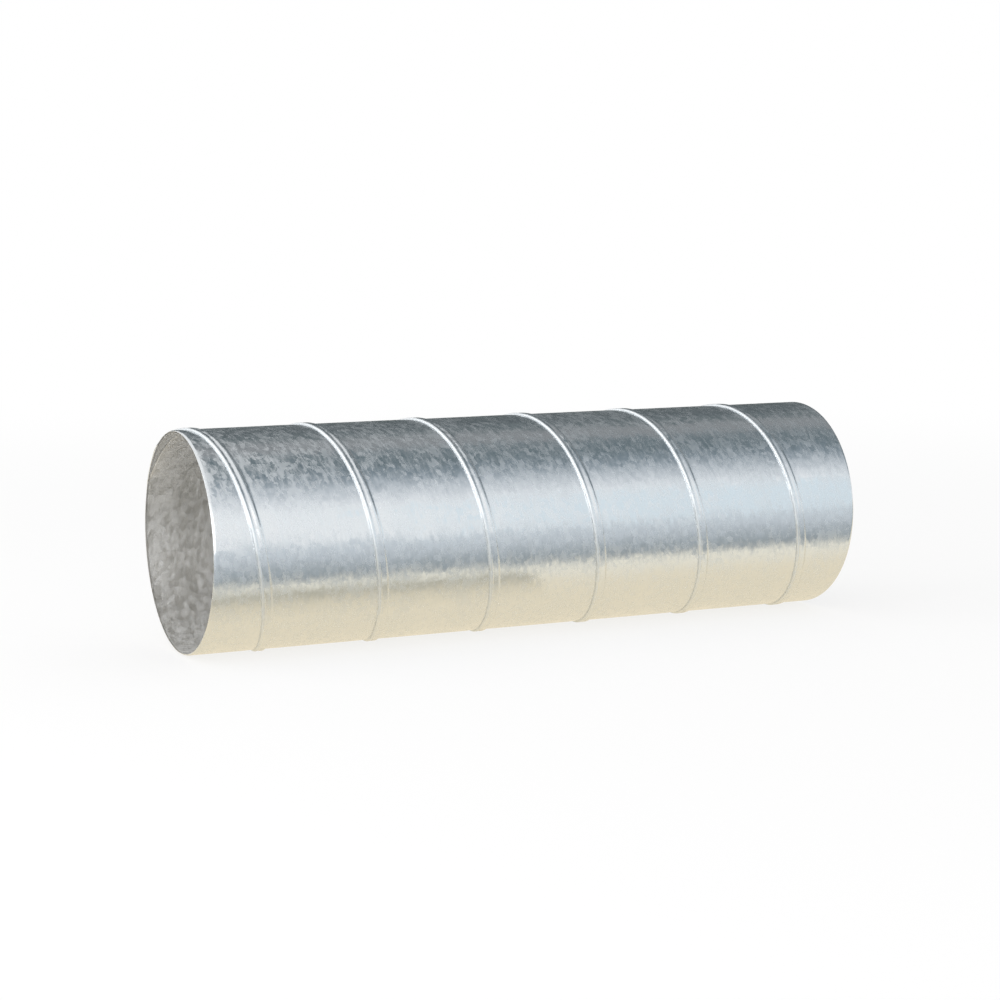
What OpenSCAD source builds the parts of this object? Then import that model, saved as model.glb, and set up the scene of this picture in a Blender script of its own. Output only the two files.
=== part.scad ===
// Spiral lock-seam duct: one strip of galvanised sheet wound into a round pipe.
// The pipe lies along X. The origin is on the floor, midway along the pipe.
// +Z is up, and the seam climbs towards +X as it runs from the top over the -Y side.

/* [Pipe] */
// Nominal size: diameter of the smooth inside wall, which a fitting slides into
inner_d = 200; // [80:1:400]
// Thickness of the sheet
sheet_t = 0.5; // [0.4:0.05:1.0]
// Length of the cut piece
pipe_len = 650; // [150:1:2000]

/* [Seam] */
// Distance along the pipe from one turn of the seam to the next
seam_pitch = 109; // [60:0.5:200]
// Distance from the left end to the middle of the seam's first pass over the top of the pipe
seam_start = 16; // [0:0.5:60]
// Width of the folded band, from the hem to the foot of the ramp
seam_w = 10.6; // [9:0.1:14]
// Width of the ramp on which the strip climbs onto the band
ramp_w = 2.4; // [1:0.1:3]
// Width of the channel that the closing roller presses into the band
channel_w = 4.8; // [2:0.1:5]
// Depth of that channel
channel_depth = 0.3; // [0.1:0.01:0.5]
// Width of the groove that the fold leaves in the inside wall
groove_w = 1.2; // [0.8:0.1:2]
// Depth of that groove
groove_depth = 0.4; // [0.3:0.01:0.5]
// Facets of the seam in one turn
seam_facets = 60; // [48:4:72]

/* [Hidden] */
$fn = 128;
// Two folded edges hook into each other, so the band has four plies where the wall has one
plies = 4;
band_h = (plies - 1) * sheet_t;
inner_r = inner_d / 2;
outer_r = inner_r + sheet_t;
axis_z = outer_r + band_h;
// The band is rooted halfway into the wall, deep enough for its flat facets to stay inside it
facet_sag = outer_r * (1 - cos(180 / seam_facets));
root_h = -(sheet_t - facet_sag) / 2;
// The groove's cutter reaches this far into the open bore
groove_reach = 0.3;
step_angle = 360 / seam_facets;
step_x = seam_pitch / seam_facets;
// The seam is wound past both ends of the pipe, and cut off flush with them
first_step = -ceil((seam_start + seam_w) / step_x);
last_step = ceil((pipe_len - seam_start + seam_w) / step_x);
cut_spare = 2 * (seam_start + seam_w);

// A section is a list of [distance along the pipe, height over the wall], given clockwise.

// The hem is the strip's edge, folded round: upright at its side and level on top
function hem() = [
    for (a = [0 : 45 : 90]) [
        -seam_w / 2 + band_h / 2 * (1 - cos(a)),
        band_h / 2 * (1 + sin(a))
    ]
];

// The channel runs from the top of the hem to a second, flat crest
function channel() =
    let (x = -seam_w / 2 + band_h, slope = channel_w / 5)
    [
        [x + slope, band_h - channel_depth],
        [x + channel_w - slope, band_h - channel_depth],
        [x + channel_w, band_h]
    ];

function ramp() = [
    [seam_w / 2 - ramp_w, band_h],
    [seam_w / 2 - ramp_w * 0.4, band_h * 0.3],
    [seam_w / 2, root_h]
];

function band_section() = concat([[-seam_w / 2, root_h]], hem(), channel(), ramp());

// The groove is a V under the ramp, where the strip leaves the inside wall for the fold
function groove_section() =
    let (
        x = (seam_w - ramp_w) / 2,
        half = groove_w / 2 * (1 + groove_reach / groove_depth)
    )
    [[x - half, -groove_reach], [x, groove_depth], [x + half, -groove_reach]];

// One point of a section over a wall of the given radius, carried round the pipe to a step
function on_helix(p, radius, i) =
    let (a = i * step_angle, r = radius + p[1])
    [seam_start + i * step_x + p[0], -r * sin(a), r * cos(a)];

// A section swept along the seam as one closed skin: a ring of points at each step, and a cap
// at both ends
module along_seam(section, radius) {
    n = len(section);
    rings = last_step - first_step;
    points = [
        for (i = [first_step : last_step]) for (p = section) on_helix(p, radius, i)
    ];
    sides = [
        for (i = [0 : rings - 1]) for (k = [0 : n - 1])
            let (a = i * n + k, b = i * n + (k + 1) % n)
            each [[a, b, b + n], [a, b + n, a + n]]
    ];
    caps = [
        [for (k = [n - 1 : -1 : 0]) k],
        [for (k = [0 : n - 1]) rings * n + k]
    ];
    polyhedron(points = points, faces = concat(sides, caps), convexity = 20);
}

// Round bar along X that runs the same distance past both ends of the pipe
module bar(radius, past_ends = 0) {
    translate([-past_ends, 0, 0])
        rotate([0, 90, 0])
            cylinder(r = radius, h = pipe_len + 2 * past_ends);
}

module wall() {
    difference() {
        bar(outer_r);
        bar(inner_r, past_ends = 1);
    }
}

// Block that takes away everything past the left end of the pipe
module end_cutter() {
    side = 2 * (outer_r + 2 * band_h);
    translate([-cut_spare, -side / 2, -side / 2])
        cube([cut_spare, side, side]);
}

module seam_band() {
    difference() {
        along_seam(band_section(), outer_r);
        end_cutter();
        translate([pipe_len, 0, 0])
            mirror([1, 0, 0])
                end_cutter();
    }
}

module spiral_duct() {
    color("lightsteelblue")
        translate([-pipe_len / 2, 0, axis_z])
            difference() {
                union() {
                    wall();
                    seam_band();
                }
                along_seam(groove_section(), inner_r);
            }
}

spiral_duct();
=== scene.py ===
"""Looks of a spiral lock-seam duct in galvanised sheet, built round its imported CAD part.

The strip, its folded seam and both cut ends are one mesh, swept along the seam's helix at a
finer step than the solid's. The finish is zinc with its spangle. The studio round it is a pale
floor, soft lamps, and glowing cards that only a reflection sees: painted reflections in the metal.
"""

import logging
import math
from dataclasses import dataclass, field
from enum import Enum
from typing import NamedTuple

import bmesh
import bpy
import numpy as np
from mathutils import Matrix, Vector

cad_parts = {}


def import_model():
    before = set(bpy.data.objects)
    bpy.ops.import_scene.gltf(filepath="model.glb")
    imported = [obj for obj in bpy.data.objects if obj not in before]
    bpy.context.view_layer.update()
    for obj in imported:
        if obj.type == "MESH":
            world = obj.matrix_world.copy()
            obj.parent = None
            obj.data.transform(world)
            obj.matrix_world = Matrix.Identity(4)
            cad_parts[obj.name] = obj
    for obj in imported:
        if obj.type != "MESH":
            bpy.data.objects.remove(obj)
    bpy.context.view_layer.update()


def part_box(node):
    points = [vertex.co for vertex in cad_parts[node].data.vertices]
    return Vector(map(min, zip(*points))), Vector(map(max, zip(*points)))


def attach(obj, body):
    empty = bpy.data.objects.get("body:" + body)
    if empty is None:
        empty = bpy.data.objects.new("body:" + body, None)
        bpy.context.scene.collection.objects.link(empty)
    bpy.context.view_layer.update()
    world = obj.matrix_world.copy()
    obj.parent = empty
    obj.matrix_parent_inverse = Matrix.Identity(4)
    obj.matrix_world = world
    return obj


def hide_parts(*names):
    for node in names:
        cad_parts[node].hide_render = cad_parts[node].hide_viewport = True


MM = 0.001
DUCT_NODE = "spiral_duct"
ROOT_BODY = "root"
STRIP_PLACE = "strip_place"
LOG = logging.getLogger("spiral_duct_scene")

Colour = tuple[float, float, float]


class SkinPoint(NamedTuple):
    """One point of a skin's section across the strip."""

    across: float
    height: float
    knurl: float = 0.0


Section = list[SkinPoint]


class PipeEnd(Enum):
    """The two cut ends of the pipe, by the sign of their direction along X."""

    LEFT = -1
    RIGHT = 1


class Skin(Enum):
    """The two skins of the sheet, by the offset that keeps their patterns apart."""

    OUTSIDE = 0.0
    INSIDE = 0.5


def smooth(share: float) -> float:
    """Eases 0..1 in and out like half a wave."""
    return (1 - math.cos(math.pi * share)) / 2


class NodeGraph:
    """Short ways to add and join nodes in a material's or the world's tree."""

    def __init__(self, tree: bpy.types.NodeTree) -> None:
        """Empties the tree.

        Args:
            tree: the node tree to build in.
        """
        self.tree = tree
        tree.nodes.clear()

    def add(self, kind: str, **settings: object) -> bpy.types.Node:
        """Adds a node.

        Args:
            kind: the node's type name without the ShaderNode prefix.
            settings: properties to set on the node.

        Returns:
            The new node.
        """
        node = self.tree.nodes.new("ShaderNode" + kind)
        for name, value in settings.items():
            setattr(node, name, value)
        return node

    def join(self, source: bpy.types.NodeSocket, target: bpy.types.NodeSocket) -> None:
        """Links an output to an input."""
        self.tree.links.new(source, target)

    def feed(self, value: object, target: bpy.types.NodeSocket) -> None:
        """Links a socket to an input, or writes a plain value into it.

        Args:
            value: an output socket, or the value itself.
            target: the input socket.
        """
        if isinstance(value, bpy.types.NodeSocket):
            self.join(value, target)
        else:
            target.default_value = value

    def math(self, operation: str, first: object, second: object = 0.0) -> bpy.types.NodeSocket:
        """Adds a maths node.

        Args:
            operation: the node's operation, such as MULTIPLY.
            first: the first operand, a socket or a number.
            second: the second operand.

        Returns:
            The node's output.
        """
        node = self.add("Math", operation=operation)
        self.feed(first, node.inputs[0])
        self.feed(second, node.inputs[1])
        return node.outputs[0]

    def vector_math(self, operation: str, first: object, second: object) -> bpy.types.NodeSocket:
        """Adds a vector maths node.

        Args:
            operation: the node's operation, such as ADD.
            first: the first operand, a socket or three numbers.
            second: the second operand.

        Returns:
            The node's vector output.
        """
        node = self.add("VectorMath", operation=operation)
        self.feed(first, node.inputs[0])
        self.feed(second, node.inputs[1])
        return node.outputs["Vector"]

    def scaled(self, vector: bpy.types.NodeSocket, factor: float) -> bpy.types.NodeSocket:
        """Multiplies a vector by a number."""
        return self.vector_math("MULTIPLY", vector, (factor, factor, factor))

    def noise(
        self, place: bpy.types.NodeSocket, size: float, detail: float = 2.0
    ) -> bpy.types.Node:
        """Adds smooth noise.

        Args:
            place: the position to read, in metres.
            size: the width of one blotch, in metres.
            detail: how many finer octaves it has.

        Returns:
            The noise node, with outputs Fac and Color from 0 to 1.
        """
        node = self.add("TexNoise")
        self.join(place, node.inputs["Vector"])
        node.inputs["Scale"].default_value = 1.0 / size
        node.inputs["Detail"].default_value = detail
        return node

    def between(self, factor: object, low: float, high: float) -> bpy.types.NodeSocket:
        """Maps 0..1 onto low..high.

        Args:
            factor: the socket to map.
            low: the value at 0.
            high: the value at 1.

        Returns:
            The mapped value.
        """
        node = self.add("MapRange")
        self.feed(factor, node.inputs["Value"])
        node.inputs["To Min"].default_value = low
        node.inputs["To Max"].default_value = high
        return node.outputs["Result"]

    def stepped(self, value: object, zero: float, one: float) -> bpy.types.NodeSocket:
        """Maps a value smoothly onto 0..1.

        Args:
            value: the socket to map.
            zero: the value that gives 0.
            one: the value that gives 1.

        Returns:
            The mapped value.
        """
        node = self.add("MapRange", interpolation_type="SMOOTHSTEP")
        self.feed(value, node.inputs["Value"])
        node.inputs["From Min"].default_value = min(zero, one)
        node.inputs["From Max"].default_value = max(zero, one)
        node.inputs["To Min"].default_value = 0.0 if zero < one else 1.0
        node.inputs["To Max"].default_value = 1.0 if zero < one else 0.0
        return node.outputs["Result"]


@dataclass(frozen=True)
class SpangledZinc:
    """Hot-dip zinc on sheet: crystals that each tilt and dull the gloss, drawn out by the rolls."""

    name: str = "spangled_zinc"
    bright: Colour = (0.84, 0.865, 0.88)
    dull: Colour = (0.68, 0.715, 0.74)
    crystal: float = 5.0 * MM
    streak: float = 3.2 * MM
    cloud: float = 30.0 * MM
    drawn: float = 3.0
    gloss_low: float = 0.14
    gloss_high: float = 0.35
    bloom: float = 0.08
    tilt: float = 0.05
    streak_tilt: float = 0.11
    ripple: float = 0.30 * MM
    hem_gloss: float = 0.40
    hem_place: tuple[float, float] = (-5.6 * MM, -3.0 * MM)

    def material(self) -> bpy.types.Material:
        """Builds the finish.

        Returns:
            The material.
        """
        made = bpy.data.materials.new(self.name)
        made.use_nodes = True
        graph = NodeGraph(made.node_tree)
        place = graph.add("Attribute", attribute_name=STRIP_PLACE).outputs["Vector"]
        along = graph.vector_math("MULTIPLY", place, (1.0 / self.drawn, 1.0, 1.0))
        crystals = self._crystals(graph, place)
        streaks = graph.noise(along, self.streak, 3.0)
        clouds = graph.noise(along, self.cloud, 3.0)
        shader = graph.add("BsdfPrincipled")
        shade = graph.math("MULTIPLY", self._cell_value(graph, crystals), 0.16)
        shade = graph.math("ADD", shade, graph.math("MULTIPLY", streaks.outputs["Fac"], 0.46))
        shade = graph.math("ADD", shade, graph.math("MULTIPLY", clouds.outputs["Fac"], 0.38))
        graph.join(self._colour(graph, shade), shader.inputs["Base Color"])
        dullness = graph.stepped(shade, 0.68, 0.32)
        gloss = graph.between(dullness, self.gloss_low, self.gloss_high)
        across = graph.add("SeparateXYZ")
        graph.join(place, across.inputs["Vector"])
        hem = self._hem_share(graph, across.outputs["Y"])
        gloss = graph.math("ADD", gloss, graph.math("MULTIPLY", hem, self.hem_gloss - self.gloss_low))
        graph.join(gloss, shader.inputs["Roughness"])
        graph.join(graph.between(dullness, 1.0, 1.0 - self.bloom), shader.inputs["Metallic"])
        graph.join(self._normal(graph, crystals, streaks, clouds), shader.inputs["Normal"])
        output = graph.add("OutputMaterial")
        graph.join(shader.outputs["BSDF"], output.inputs["Surface"])
        return made

    def _crystals(self, graph: NodeGraph, place: bpy.types.NodeSocket) -> bpy.types.Node:
        """Cells of the spangle, with edges that a finer noise frays."""
        fray = graph.noise(place, self.crystal * 0.8, 2.0)
        offset = graph.scaled(
            graph.vector_math("SUBTRACT", fray.outputs["Color"], (0.5, 0.5, 0.5)),
            self.crystal * 0.9,
        )
        cells = graph.add("TexVoronoi")
        graph.join(graph.vector_math("ADD", place, offset), cells.inputs["Vector"])
        cells.inputs["Scale"].default_value = 1.0 / self.crystal
        return cells

    def _hem_share(self, graph: NodeGraph, across: bpy.types.NodeSocket) -> bpy.types.NodeSocket:
        """1 on the folded hem, where the coat is crazed and dull, and else 0."""
        low, high = self.hem_place
        after = graph.stepped(across, low, low + 0.4 * MM)
        before = graph.stepped(across, high, high - 0.6 * MM)
        return graph.math("MULTIPLY", after, before)

    def _cell_value(self, graph: NodeGraph, cells: bpy.types.Node) -> bpy.types.NodeSocket:
        """One random number for each crystal."""
        parts = graph.add("SeparateColor")
        graph.join(cells.outputs["Color"], parts.inputs["Color"])
        return parts.outputs["Red"]

    def _colour(self, graph: NodeGraph, shade: bpy.types.NodeSocket) -> bpy.types.NodeSocket:
        """Zinc between its dull and its bright colour."""
        mix = graph.add("Mix", data_type="RGBA")
        graph.join(shade, mix.inputs["Factor"])
        mix.inputs["A"].default_value = (*self.dull, 1.0)
        mix.inputs["B"].default_value = (*self.bright, 1.0)
        return mix.outputs["Result"]

    def _normal(
        self,
        graph: NodeGraph,
        cells: bpy.types.Node,
        streaks: bpy.types.Node,
        clouds: bpy.types.Node,
    ) -> bpy.types.NodeSocket:
        """Tilts each crystal by its own small amount, over the sheet's slow ripple.

        Args:
            graph: the tree.
            cells: the spangle's cells.
            streaks: the noise drawn out by the rolls.
            clouds: the slow noise.

        Returns:
            The shading normal.
        """
        ripple = graph.add("Bump")
        graph.join(clouds.outputs["Fac"], ripple.inputs["Height"])
        ripple.inputs["Distance"].default_value = self.ripple
        ripple.inputs["Strength"].default_value = 1.0
        normal = ripple.outputs["Normal"]
        for pattern, amount in ((cells, self.tilt), (streaks, self.streak_tilt)):
            turned = graph.vector_math("SUBTRACT", pattern.outputs["Color"], (0.5, 0.5, 0.5))
            normal = graph.vector_math("ADD", normal, graph.scaled(turned, amount))
        return graph.vector_math("NORMALIZE", normal, (0.0, 0.0, 0.0))


@dataclass(frozen=True)
class DullZinc(SpangledZinc):
    """The same zinc on the inside, where it was never rubbed bright: greyer and less glossy."""

    name: str = "dull_zinc"
    bright: Colour = (0.86, 0.85, 0.82)
    dull: Colour = (0.66, 0.67, 0.68)
    gloss_low: float = 0.42
    gloss_high: float = 0.58
    bloom: float = 0.35
    hem_gloss: float = 0.42


@dataclass(frozen=True)
class LockSeam:
    """The folded seam: where it runs, and its section over the outside and the inside wall."""

    pitch: float = 109.0 * MM
    start: float = 16.0 * MM
    width: float = 10.6 * MM
    hem: float = 2.2 * MM
    hem_side: float = 0.20 * MM
    channel: float = 4.6 * MM
    channel_depth: float = 0.45 * MM
    crest_drop: float = 0.2
    crest: float = 1.0 * MM
    knurl: float = 0.10 * MM
    groove: float = 1.2 * MM
    groove_depth: float = 0.25 * MM

    def outer_section(self, height: float) -> Section:
        """Section of the band over the outside wall, from its left to its right foot.

        Args:
            height: height of the band over the wall.

        Returns:
            Points with their distance from the band's middle, height over the wall and knurl.
        """
        left, right = -self.width / 2, self.width / 2
        roll, rise = self.hem * 0.7, height - self.hem_side
        hem = [SkinPoint(left, 0.0)] + [
            SkinPoint(left + roll * (1 - math.cos(a)), self.hem_side + rise * math.sin(a))
            for a in np.radians(np.linspace(0, 90, 8))
        ]
        first, second = left + self.hem, left + self.hem + self.channel
        # The channel falls off sharply behind the hem and rises slowly to the second crest
        shape = (
            (0.00, 0.0, 0.0), (0.08, 0.25, 0.0), (0.16, 0.75, 0.0), (0.22, 1.0, 0.0), (0.36, 1.0, 0.5),
            (0.50, 0.95, 1.0), (0.64, 0.75, 1.0), (0.82, 0.42, 1.0), (1.00, self.crest_drop, 0.3),
        )
        channel = [
            SkinPoint(first + self.channel * x, height - self.channel_depth * depth, self.knurl * k)
            for x, depth, k in shape
        ]
        ramp_start = second + self.crest
        ramp_top = height - self.channel_depth * self.crest_drop
        ramp = [
            SkinPoint(ramp_start + (right - ramp_start) * t, ramp_top * (1 - smooth(t)))
            for t in np.linspace(0.0, 1.0, 7)
        ]
        return hem + channel + ramp

    def inner_section(self) -> Section:
        """Section of the groove in the inside wall, with depth into the wall as height."""
        middle, half = self.width / 2 - 1.2 * MM, self.groove / 2
        shape = ((-1.3, 0.0), (-0.6, 0.35), (0.0, 1.0), (0.6, 0.35), (1.3, 0.0))
        return [SkinPoint(middle + half * x, self.groove_depth * depth) for x, depth in shape]


@dataclass
class SpiralDuct:
    """The whole duct: one strip wound and locked, cut square at both ends."""

    low: Vector
    high: Vector
    sheet: float = 0.5 * MM
    seam: LockSeam = field(default_factory=LockSeam)
    outside: SpangledZinc = field(default_factory=SpangledZinc)
    inside: DullZinc = field(default_factory=DullZinc)
    steps_per_turn: int = 300
    wall_offsets: tuple[float, ...] = (1.2, 3.0, 6.0, 10.0, 16.0, 26.0)
    inside_columns: int = 5
    curl: float = 0.8 * MM
    curl_reach: float = 2.4 * MM
    wave: float = 0.12 * MM
    draw_in: float = 0.16 * MM
    draw_reach: float = 8.0 * MM

    @property
    def length(self) -> float:
        """Length of the pipe."""
        return self.high.x - self.low.x

    @property
    def crest_radius(self) -> float:
        """Radius to the top of the seam's band."""
        return (self.high.z - self.low.z) / 2

    @property
    def band_height(self) -> float:
        """Three plies more than the wall."""
        return 3 * self.sheet

    @property
    def outer_radius(self) -> float:
        """Radius of the outside wall."""
        return self.crest_radius - self.band_height

    @property
    def inner_radius(self) -> float:
        """Radius of the inside wall."""
        return self.outer_radius - self.sheet

    @property
    def axis_height(self) -> float:
        """Height of the pipe's axis over the floor."""
        return (self.high.z + self.low.z) / 2

    def build(self) -> bpy.types.Object:
        """Builds and dresses the duct.

        Returns:
            The duct's object.
        """
        shape = bmesh.new()
        self._sweep(shape, self._outer_columns(), self.outer_radius, Skin.OUTSIDE)
        self._sweep(shape, self._inner_columns(), self.inner_radius, Skin.INSIDE)
        for end in PipeEnd:
            self._cut(shape, end)
        self._relax(shape)
        mesh = bpy.data.meshes.new("duct_sheet")
        shape.to_mesh(mesh)
        shape.free()
        mesh.shade_smooth()
        mesh.set_sharp_from_angle(angle=math.radians(50))
        mesh.materials.append(self.outside.material())
        mesh.materials.append(self.inside.material())
        duct = bpy.data.objects.new("duct_sheet", mesh)
        bpy.context.scene.collection.objects.link(duct)
        return duct

    def _outer_columns(self) -> Section:
        """One pitch of the outside: the seam's band, then the plain wall up to the next turn."""
        band = self.seam.outer_section(self.band_height)
        start, end = band[-1].across, self.seam.pitch + band[0].across
        offsets = [o * MM for o in self.wall_offsets]
        places = [start + o for o in offsets] + [(start + end) / 2] + [end - o for o in reversed(offsets)]
        return band + [SkinPoint(x, 0.0) for x in places]

    def _inner_columns(self) -> Section:
        """One pitch of the inside: the groove, then the plain wall up to the next turn."""
        groove = self.seam.inner_section()
        start, end = groove[-1].across, self.seam.pitch + groove[0].across
        shares = np.arange(1, self.inside_columns + 1) / (self.inside_columns + 1)
        return groove + [SkinPoint(start + (end - start) * t, 0.0) for t in shares]

    def _sweep(self, shape: bmesh.types.BMesh, columns: Section, radius: float, skin: Skin) -> None:
        """Sweeps one pitch of columns along the helix, past both ends of the pipe.

        Args:
            shape: the mesh to add to.
            columns: one pitch of the skin.
            radius: radius of the wall that the heights are over.
            skin: which skin it is.
        """
        seam, turn = self.seam, self.steps_per_turn
        place = shape.verts.layers.float_vector.get(STRIP_PLACE)
        if place is None:
            place = shape.verts.layers.float_vector.new(STRIP_PLACE)
        before = turn * 5 // 4
        steps = math.ceil(self.length / seam.pitch * turn) + 2 * before
        strip_step = math.hypot(2 * math.pi * self.outer_radius, seam.pitch) / turn
        rows = []
        for i in range(-before, steps - before + 1):
            angle = 2 * math.pi * i / turn
            base = self.low.x + seam.start + seam.pitch * i / turn
            row = []
            for point in columns:
                knurl = point.knurl * (1 if i % 2 else -1)
                reach = radius + point.height + knurl
                vert = shape.verts.new((
                    base + point.across,
                    -reach * math.sin(angle),
                    self.axis_height + reach * math.cos(angle),
                ))
                vert[place] = (strip_step * i, point.across, skin.value)
                row.append(vert)
            rows.append(row)
        for i in range(steps):
            for k in range(len(columns)):
                if k + 1 < len(columns):
                    corners = [rows[i][k], rows[i][k + 1], rows[i + 1][k + 1], rows[i + 1][k]]
                elif i + turn + 1 <= steps:
                    corners = [rows[i][k], rows[i + turn][0], rows[i + turn + 1][0], rows[i + 1][k]]
                else:
                    continue
                face = shape.faces.new(corners if skin is Skin.OUTSIDE else corners[::-1])
                face.material_index = list(Skin).index(skin)

    def _cut(self, shape: bmesh.types.BMesh, end: PipeEnd) -> None:
        """Cuts the overlong sweep square at one end, and closes the sheet's cut edge.

        Args:
            shape: the mesh.
            end: which end is cut.
        """
        plane_x = self.high.x if end is PipeEnd.RIGHT else self.low.x
        away = Vector((end.value, 0.0, 0.0))
        everything = shape.verts[:] + shape.edges[:] + shape.faces[:]
        cut = bmesh.ops.bisect_plane(
            shape, geom=everything, dist=1e-7, plane_co=(plane_x, 0, 0), plane_no=away, clear_outer=True
        )
        rim = [e for e in cut["geom_cut"] if isinstance(e, bmesh.types.BMEdge)]
        bmesh.ops.bridge_loops(shape, edges=rim)
        for share in (0.1, 0.25, 0.45, 0.7, 1.0):
            plane = plane_x - end.value * share * self.curl_reach
            near = [f for f in shape.faces if min(abs(v.co.x - plane) for v in f.verts) < 40 * MM]
            parts = {e for f in near for e in f.edges} | {v for f in near for v in f.verts}
            bmesh.ops.bisect_plane(
                shape, geom=near + list(parts), dist=1e-7, plane_co=(plane, 0, 0), plane_no=away
            )

    def _relax(self, shape: bmesh.types.BMesh) -> None:
        """Moves the sheet in and out as a thin wound sheet lies: waves, cut ends turned in.

        Args:
            shape: the mesh.
        """
        for vert in shape.verts:
            side, up = vert.co.y, vert.co.z - self.axis_height
            radius = math.hypot(side, up)
            angle = math.atan2(-side, up)
            shift = self._wave_at(vert.co.x, angle) + self._curl_at(vert.co.x)
            if radius < self.outer_radius + 0.2 * MM:
                shift += self._draw_at(vert.co.x, angle)
            scale = (radius + shift) / radius
            vert.co.y, vert.co.z = side * scale, self.axis_height + up * scale
        shape.normal_update()

    def _curl_at(self, x: float) -> float:
        """How far the knives turned a cut end in, at a place along the pipe."""
        reach = min(x - self.low.x, self.high.x - x) / self.curl_reach
        return -self.curl * max(0.0, 1.0 - reach) ** 2

    def _wave_at(self, x: float, angle: float) -> float:
        """Slow waves of the thin wall, always inward, so that the outline keeps its size.

        Args:
            x: place along the pipe.
            angle: angle round the pipe from its top.

        Returns:
            The wall's shift along its radius.
        """
        waves = (
            math.sin(23.0 * x + 2 * angle + 0.4)
            + 0.8 * math.sin(61.0 * x - 3 * angle + 1.9)
            + 0.5 * math.sin(118.0 * x + 5 * angle + 4.1)
        )
        return self.wave * (waves / 2.3 - 1.0) / 2

    def _draw_at(self, x: float, angle: float) -> float:
        """The wall is drawn in a little beside the seam.

        Args:
            x: place along the pipe.
            angle: angle round the pipe from its top.

        Returns:
            The wall's shift along its radius.
        """
        seam = self.seam
        passed = (x - self.low.x - seam.start) / seam.pitch - angle / (2 * math.pi)
        away = abs(passed - round(passed)) * seam.pitch
        edge = max(0.0, away - seam.width / 2)
        return -self.draw_in * math.exp(-((edge / self.draw_reach) ** 2))


@dataclass(frozen=True)
class StudioCard:
    """A flat glowing card that only reflections see: a painted reflection that shapes what the metal
    shows.

    The stops are colours at places in metres, along Y on a level card and along Z on an upright one.
    """

    name: str
    low: Colour
    high: Colour
    stops: tuple[tuple[float, Colour], ...]

    @property
    def upright(self) -> bool:
        """Whether the card stands, in a plane across Y."""
        return self.low[1] == self.high[1]

    def build(self) -> bpy.types.Object:
        """Builds the card.

        Returns:
            The card's object.
        """
        (x0, y0, z0), (x1, y1, z1) = self.low, self.high
        if self.upright:
            corners = [(x0, y0, z0), (x1, y0, z0), (x1, y0, z1), (x0, y0, z1)]
        else:
            corners = [(x0, y0, z0), (x1, y0, z0), (x1, y1, z0), (x0, y1, z0)]
        mesh = bpy.data.meshes.new(self.name)
        mesh.from_pydata(corners, [], [(0, 1, 2, 3)])
        mesh.materials.append(self._material())
        card = bpy.data.objects.new(self.name, mesh)
        bpy.context.scene.collection.objects.link(card)
        card.visible_camera = False
        card.visible_diffuse = False
        card.visible_shadow = False
        card.visible_transmission = False
        card.visible_volume_scatter = False
        return card

    def _material(self) -> bpy.types.Material:
        """A card that glows evenly with its graded colour, as a painted reflection."""
        made = bpy.data.materials.new(self.name)
        made.use_nodes = True
        graph = NodeGraph(made.node_tree)
        place = graph.add("SeparateXYZ")
        graph.join(graph.add("TexCoord").outputs["Object"], place.inputs["Vector"])
        span = graph.add("MapRange")
        graph.join(place.outputs["Z" if self.upright else "Y"], span.inputs["Value"])
        first, last = self.stops[0][0], self.stops[-1][0]
        span.inputs["From Min"].default_value = first
        span.inputs["From Max"].default_value = last
        ramp = graph.add("ValToRGB")
        graph.join(span.outputs["Result"], ramp.inputs["Fac"])
        points = ramp.color_ramp.elements
        while len(points) < len(self.stops):
            points.new(0.5)
        for point, (where, colour) in zip(points, self.stops):
            point.position = (where - first) / (last - first)
            point.color = (*colour, 1.0)
        light = graph.add("Emission")
        graph.join(ramp.outputs["Color"], light.inputs["Color"])
        output = graph.add("OutputMaterial")
        graph.join(light.outputs["Emission"], output.inputs["Surface"])
        return made


@dataclass(frozen=True)
class Softbox:
    """A soft rectangular lamp that hangs in the studio and points at the duct."""

    name: str
    place: Colour
    width: float
    height: float
    level: float

    def build(self, aim: Vector) -> bpy.types.Object:
        """Builds the lamp.

        Args:
            aim: the point that it faces.

        Returns:
            The lamp's object.
        """
        data = bpy.data.lights.new(self.name, "AREA")
        data.shape = "RECTANGLE"
        data.size, data.size_y = self.width, self.height
        data.energy = self.level * math.pi * self.width * self.height
        lamp = bpy.data.objects.new(self.name, data)
        lamp.location = self.place
        lamp.rotation_euler = (aim - Vector(self.place)).to_track_quat("-Z", "Y").to_euler()
        lamp.visible_camera = False
        bpy.context.scene.collection.objects.link(lamp)
        return lamp


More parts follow.
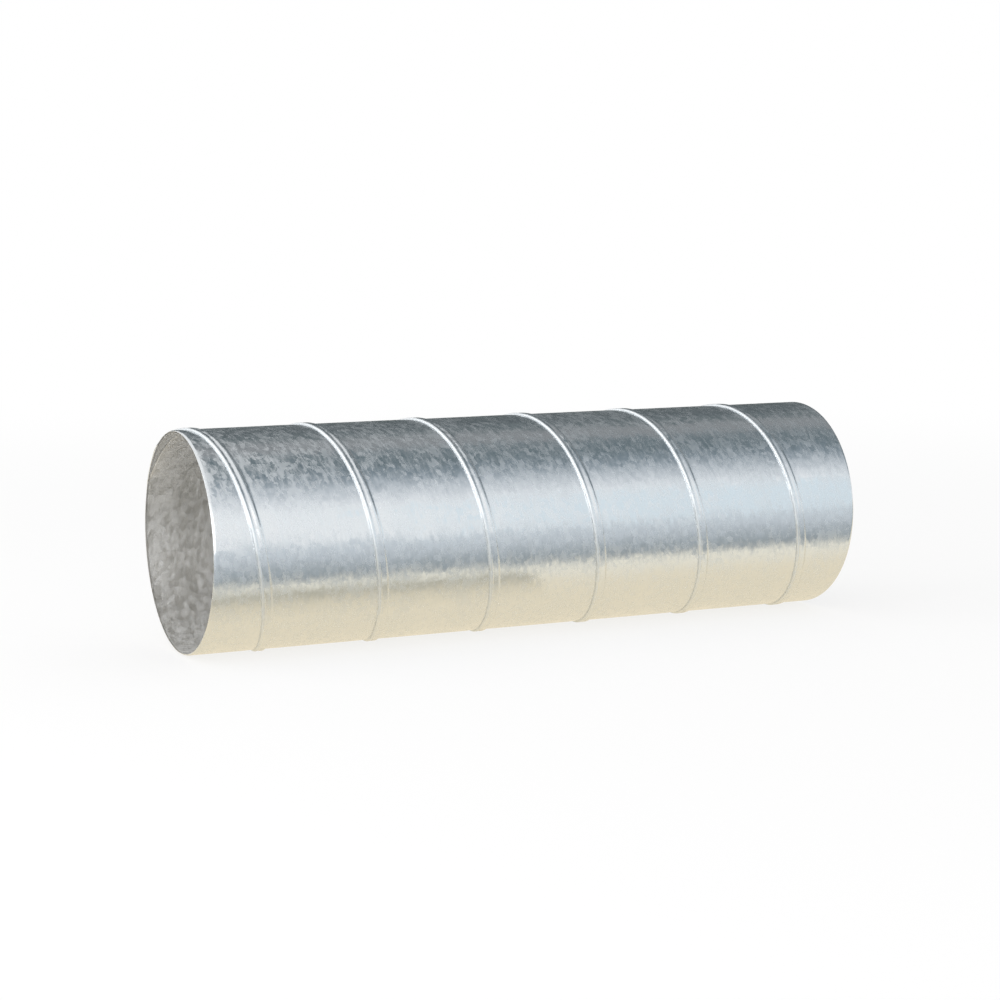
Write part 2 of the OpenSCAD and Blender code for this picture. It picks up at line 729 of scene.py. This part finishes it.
@dataclass
class Studio:
    """Pale floor, soft lamps, cards and the camera."""

    axis_height: float
    floor_side: float = 40.0
    floor_colour: Colour = (0.93, 0.93, 0.93)
    floor_glow: float = 0.75
    ambient: float = 0.80

    def build(self) -> None:
        """Builds the whole studio."""
        self._world()
        self._floor()
        for card in self._cards():
            card.build()
            LOG.info("card: %s", card.name)
        for lamp in self._lamps():
            lamp.build(Vector((0.0, 0.0, self.axis_height)))
            LOG.info("lamp: %s", lamp.name)
        self._camera()
        bpy.context.scene.view_settings.view_transform = "Standard"

    def _background_share(self, graph: NodeGraph) -> bpy.types.NodeSocket:
        """1 for a ray that looks at the backdrop, straight or in a reflection, and else 0."""
        path = graph.add("LightPath").outputs
        seen = graph.math("MAXIMUM", path["Is Camera Ray"], path["Is Glossy Ray"])
        return graph.math("MAXIMUM", seen, path["Is Transmission Ray"])

    def _world(self) -> None:
        """White backdrop, and a plain even light for the rest."""
        world = bpy.data.worlds.new("studio_world")
        bpy.context.scene.world = world
        world.use_nodes = True
        graph = NodeGraph(world.node_tree)
        light = graph.add("Background")
        light.inputs["Color"].default_value = (1.0, 1.0, 1.0, 1.0)
        light.inputs["Strength"].default_value = self.ambient
        backdrop = graph.add("Background")
        backdrop.inputs["Color"].default_value = (1.0, 1.0, 1.0, 1.0)
        mix = graph.add("MixShader")
        graph.join(self._background_share(graph), mix.inputs["Fac"])
        graph.join(light.outputs["Background"], mix.inputs[1])
        graph.join(backdrop.outputs["Background"], mix.inputs[2])
        output = graph.add("OutputWorld")
        graph.join(mix.outputs["Shader"], output.inputs["Surface"])

    def _floor(self) -> None:
        """A pale floor that keeps the duct's shadow and fades into the backdrop."""
        made = bpy.data.materials.new("pale_floor")
        made.use_nodes = True
        graph = NodeGraph(made.node_tree)
        matt = graph.add("BsdfDiffuse")
        matt.inputs["Color"].default_value = (*self.floor_colour, 1.0)
        glow = graph.add("Emission")
        distance = graph.add("VectorMath", operation="LENGTH")
        graph.join(graph.add("TexCoord").outputs["Object"], distance.inputs[0])
        fade = graph.stepped(distance.outputs["Value"], 0.7, 2.5)
        blend = graph.between(fade, self.floor_glow, 1.0)
        mix = graph.add("MixShader")
        graph.join(graph.math("MULTIPLY", self._background_share(graph), blend), mix.inputs["Fac"])
        graph.join(matt.outputs["BSDF"], mix.inputs[1])
        graph.join(glow.outputs["Emission"], mix.inputs[2])
        output = graph.add("OutputMaterial")
        graph.join(mix.outputs["Shader"], output.inputs["Surface"])
        half = self.floor_side / 2
        mesh = bpy.data.meshes.new("floor")
        corners = [(-half, -half, 0), (half, -half, 0), (half, half, 0), (-half, half, 0)]
        mesh.from_pydata(corners, [], [(0, 1, 2, 3)])
        mesh.materials.append(made)
        floor = bpy.data.objects.new("floor", mesh)
        bpy.context.scene.collection.objects.link(floor)

    def _cards(self) -> list[StudioCard]:
        """The glowing cards that paint the reflections, each named for where it hangs or lies."""
        # Colours painted into the reflections: a dark band, a greyer streak band, and the ground, darker
        # towards the duct
        shade: Colour = (0.16, 0.20, 0.22)
        streak: Colour = (0.29, 0.30, 0.31)
        beige: Colour = (0.98, 0.93, 0.80)
        far_ground = (
            (-6.0, (0.70, 0.76, 0.80)),
            (-1.1, (0.67, 0.72, 0.76)),
            (-0.50, (0.62, 0.66, 0.70)),
            (-0.31, (0.48, 0.52, 0.55)),
            (-0.215, (0.33, 0.37, 0.39)),
            (-0.190, (0.35, 0.37, 0.38)),
        )
        return [
            StudioCard(
                "overhead_card",
                (0.75, -6.0, 4.0),
                (16.0, 26.0, 4.0),
                (
                    (-6.0, (1.0, 1.0, 1.0)),
                    (-4.6, (0.85, 0.87, 0.90)),
                    (-2.8, (0.55, 0.59, 0.63)),
                    (-1.7, (0.25, 0.30, 0.34)),
                    (-0.6, shade),
                    (0.5, shade),
                    (0.9, streak),
                    (2.1, streak),
                    (2.7, (0.16, 0.19, 0.20)),
                    (5.0, (0.12, 0.14, 0.15)),
                    (26.0, (0.12, 0.14, 0.14)),
                ),
            ),
            StudioCard(
                "right_sky_card",
                (2.9, -6.0, 0.0),
                (12.0, -6.0, 5.5),
                ((0.0, (0.80, 0.88, 0.93)), (5.5, (0.80, 0.90, 0.96))),
            ),
            StudioCard(
                "back_card",
                (0.6, 12.0, 0.0),
                (20.0, 12.0, 4.0),
                ((0.0, (0.12, 0.14, 0.14)), (4.0, (0.11, 0.13, 0.135))),
            ),
            StudioCard(
                "left_ground_card",
                (-3.0, -6.0, 0.001),
                (0.02, 1.5, 0.001),
                (
                    *far_ground,
                    (-0.178, beige),
                    (-0.150, beige),
                    # A thin darker olive line in the painted reflection of the ground, near the duct
                    (-0.141, (0.50, 0.47, 0.38)),
                    (-0.120, (0.52, 0.49, 0.39)),
                    (-0.108, (0.92, 0.81, 0.61)),
                    (1.5, (0.94, 0.78, 0.54)),
                ),
            ),
            StudioCard(
                "right_ground_card",
                (0.02, -6.0, 0.001),
                (6.0, 1.5, 0.001),
                (
                    *far_ground,
                    (-0.178, beige),
                    (-0.120, (0.92, 0.84, 0.68)),
                    (-0.108, (0.92, 0.81, 0.61)),
                    (1.5, (0.94, 0.78, 0.54)),
                ),
            ),
        ]

    def _lamps(self) -> list[Softbox]:
        """The lamps."""
        return [
            Softbox("front_softbox", (-1.6, -3.0, 1.5), 3.0, 1.8, 1.3),
            Softbox("left_softbox", (-3.2, 0.9, 2.0), 2.6, 2.6, 1.2),
            Softbox("strip_softbox", (-2.3, -0.9, 0.85), 0.30, 1.6, 8.0),
            Softbox("low_softbox", (-1.5, -2.4, 0.35), 0.9, 0.6, 2.5),
        ]

    def _camera(self) -> None:
        """Places the camera where the photograph was taken from."""
        azimuth, elevation = math.radians(-25.59), math.radians(7.57)
        distance = 2.155
        picture_side, focal_pixels = 1000.0, 2275.6
        back = Vector((
            math.sin(azimuth) * math.cos(elevation),
            -math.cos(azimuth) * math.cos(elevation),
            math.sin(elevation),
        ))
        target = Vector((-0.0078, 0.0, self.axis_height + 0.0203))
        data = bpy.data.cameras.new("camera")
        data.sensor_width = 36.0
        data.lens = data.sensor_width * focal_pixels / picture_side
        camera = bpy.data.objects.new("camera", data)
        camera.location = target + back * distance
        camera.rotation_euler = back.to_track_quat("Z", "Y").to_euler()
        bpy.context.scene.collection.objects.link(camera)
        bpy.context.scene.camera = camera


def main() -> None:
    """Builds the duct and the studio."""
    logging.basicConfig(level=logging.INFO, format="%(message)s")
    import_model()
    low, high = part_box(DUCT_NODE)
    duct = SpiralDuct(low, high)
    sheet = duct.build()
    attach(sheet, ROOT_BODY)
    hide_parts(DUCT_NODE)
    LOG.info("duct: %d faces", len(sheet.data.polygons))
    Studio(axis_height=duct.axis_height).build()


if __name__ == "__main__":
    main()
